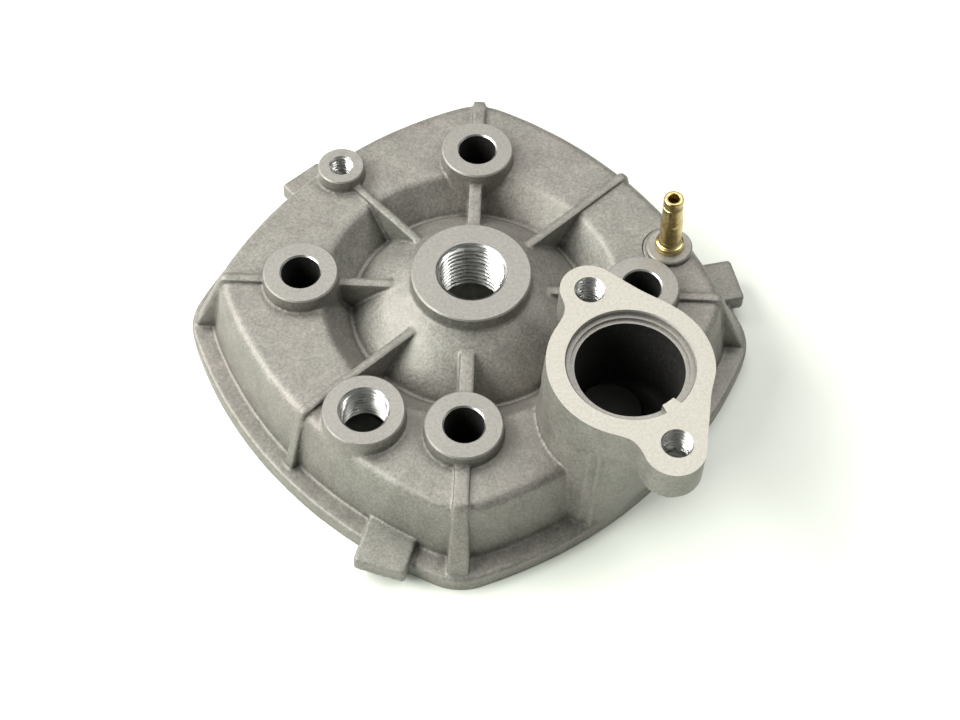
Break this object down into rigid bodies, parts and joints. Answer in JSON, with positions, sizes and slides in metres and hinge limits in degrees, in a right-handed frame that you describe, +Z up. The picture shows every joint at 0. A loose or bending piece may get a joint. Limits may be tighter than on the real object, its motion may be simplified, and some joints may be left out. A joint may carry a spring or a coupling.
{
  "type": "engine cylinder head",
  "caption": "Liquid-cooled two-stroke cylinder head: domed aluminium casting with spark-plug boss, stud bosses, ribs, thermostat housing, sensor boss and brass hose nipple.",
  "frame": {"origin": "centre of the gasket face, on the spark-plug axis", "axes": "+Z up along the spark-plug axis, away from the cylinder; the four stud holes lie on -Y (front), +X (right), +Y (back) and -X (left); the thermostat housing stands towards +X -Y"},
  "size_m": [0.1188, 0.1188, 0.0365],
  "materials": {
    "cast_aluminium": "as-cast, matt, with machined bright faces",
    "brass": "turned",
    "o_ring_rubber": "smooth moulded"
  },
  "bodies": {
    "root": {"head_casting": "cast_aluminium", "hose_nipple": "brass", "chamber_o_ring": "o_ring_rubber", "jacket_o_ring": "o_ring_rubber", "stud_o_ring_front": "o_ring_rubber", "stud_o_ring_right": "o_ring_rubber", "stud_o_ring_back": "o_ring_rubber", "stud_o_ring_left": "o_ring_rubber"}
  },
  "joints": []
}
